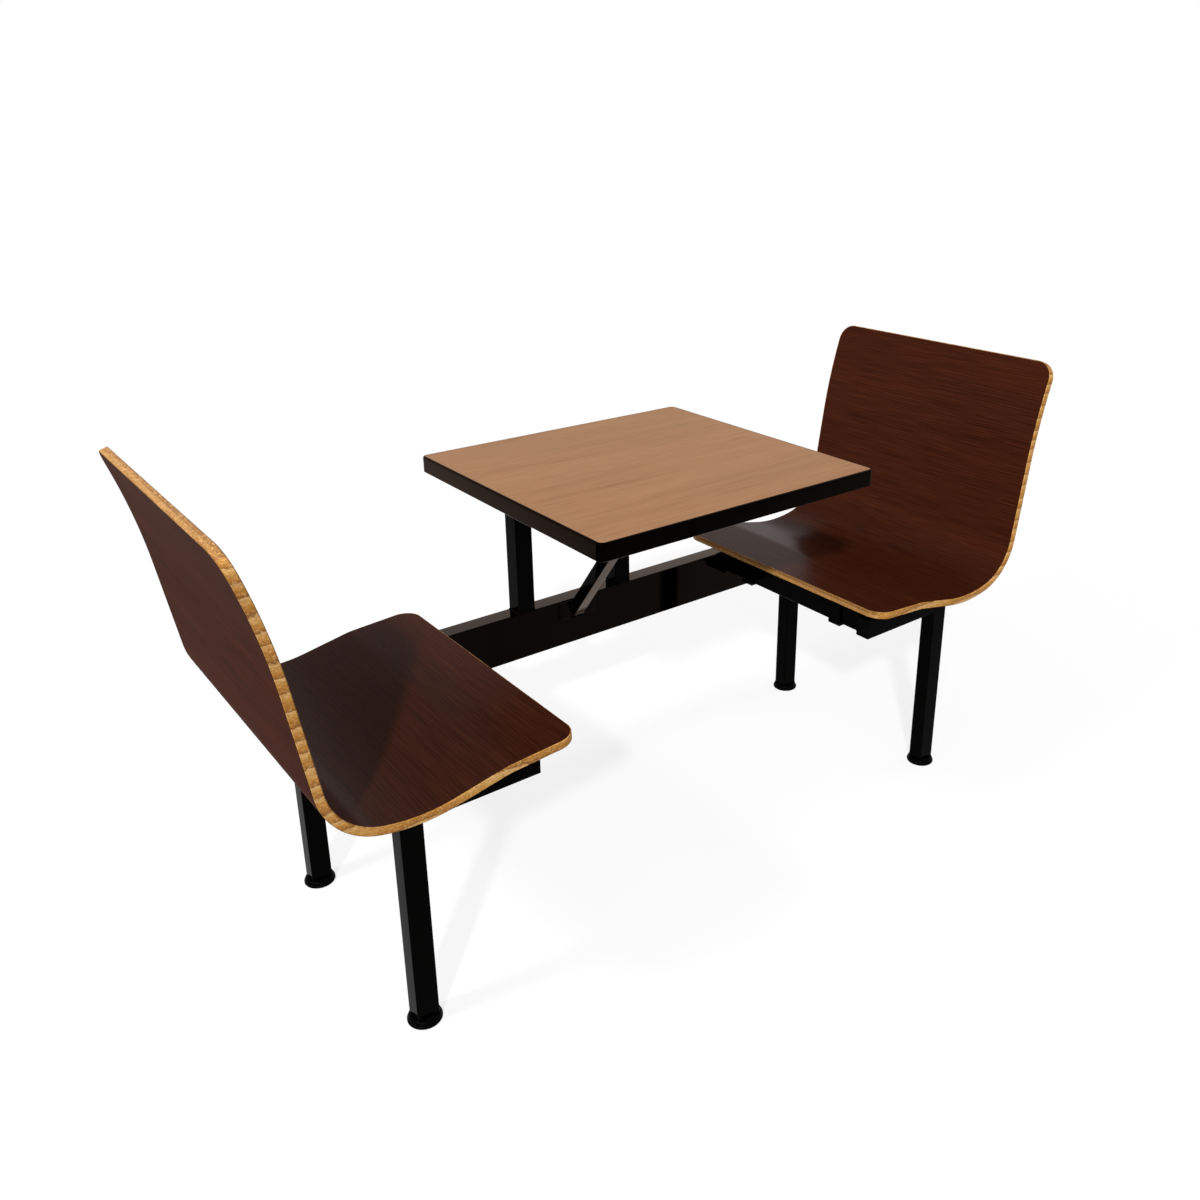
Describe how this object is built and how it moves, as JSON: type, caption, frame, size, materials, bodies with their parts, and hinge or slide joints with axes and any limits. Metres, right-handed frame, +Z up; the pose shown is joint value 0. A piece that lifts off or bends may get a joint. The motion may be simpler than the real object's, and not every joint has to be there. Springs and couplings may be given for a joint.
{
  "type": "restaurant booth",
  "caption": "Restaurant booth with a laminate table on posts between facing bent-plywood seats, carried by a steel beam and tube legs with levelling feet.",
  "frame": {"origin": "on the floor, under the middle of the table", "axes": "+X from the left seat to the right seat, +Y from the open aisle side to the wall side with the beam, +Z up"},
  "size_m": [1.6896, 0.58, 0.8831],
  "materials": {
    "black_steel": "gloss black powder coat",
    "zinc_steel": "zinc plated",
    "black_plastic": "moulded, satin",
    "black_vinyl": "smooth vinyl edge",
    "oak_ply": "clear lacquered ply edge",
    "dark_laminate": "satin dark wood-grain laminate",
    "table_laminate": "satin light wood-grain laminate",
    "particle_board": "raw",
    "backing_sheet": "plain backing"
  },
  "bodies": {
    "frame": {"beam": "black_steel", "beam_cap_left": "black_plastic", "beam_cap_right": "black_plastic", "post_left": "black_steel", "post_right": "black_steel", "post_plate_left": "black_steel", "post_plate_right": "black_steel", "brace": "black_steel", "brace_foot_plate": "black_steel", "brace_head_plate": "black_steel", "table_core": "particle_board", "table_top_laminate": "table_laminate", "table_backing_sheet": "backing_sheet", "table_edge_band": "black_vinyl", "seat_core_left": "oak_ply", "seat_face_laminate_left": "dark_laminate", "seat_back_laminate_left": "dark_laminate", "side_rail_left_aisle": "black_steel", "side_rail_left_wall": "black_steel", "rail_cap_left_aisle": "black_plastic", "rail_cap_left_wall": "black_plastic", "front_rail_left": "black_steel", "rear_rail_left": "black_steel", "clamp_left_front_aisle": "black_steel", "clamp_left_front_wall": "black_steel", "clamp_left_rear_aisle": "black_steel", "clamp_left_rear_wall": "black_steel", "leg_left_aisle": "black_steel", "leg_left_wall": "black_steel", "leg_insert_left_aisle": "black_plastic", "leg_insert_left_wall": "black_plastic", "mount_plate_left": "black_steel", "frame_bolt_left_front": "zinc_steel", "frame_bolt_left_rear": "zinc_steel", "seat_core_right": "oak_ply", "seat_face_laminate_right": "dark_laminate", "seat_back_laminate_right": "dark_laminate", "side_rail_right_aisle": "black_steel", "side_rail_right_wall": "black_steel", "rail_cap_right_aisle": "black_plastic", "rail_cap_right_wall": "black_plastic", "front_rail_right": "black_steel", "rear_rail_right": "black_steel", "clamp_right_front_aisle": "black_steel", "clamp_right_front_wall": "black_steel", "clamp_right_rear_aisle": "black_steel", "clamp_right_rear_wall": "black_steel", "leg_right_aisle": "black_steel", "leg_right_wall": "black_steel", "leg_insert_right_aisle": "black_plastic", "leg_insert_right_wall": "black_plastic", "mount_plate_right": "black_steel", "frame_bolt_right_front": "zinc_steel", "frame_bolt_right_rear": "zinc_steel"},
    "foot_left_aisle": {"glide_left_aisle": "black_plastic"},
    "foot_left_wall": {"glide_left_wall": "black_plastic"},
    "foot_right_aisle": {"glide_right_aisle": "black_plastic"},
    "foot_right_wall": {"glide_right_wall": "black_plastic"}
  },
  "joints": [
    {"name": "level_left_aisle", "type": "slide", "parent": "frame", "child": "foot_left_aisle", "axis": [0, 0, -1], "range_m": [0, 0.019]},
    {"name": "level_left_wall", "type": "slide", "parent": "frame", "child": "foot_left_wall", "axis": [0, 0, -1], "range_m": [0, 0.019]},
    {"name": "level_right_aisle", "type": "slide", "parent": "frame", "child": "foot_right_aisle", "axis": [0, 0, -1], "range_m": [0, 0.019]},
    {"name": "level_right_wall", "type": "slide", "parent": "frame", "child": "foot_right_wall", "axis": [0, 0, -1], "range_m": [0, 0.019]}
  ]
}
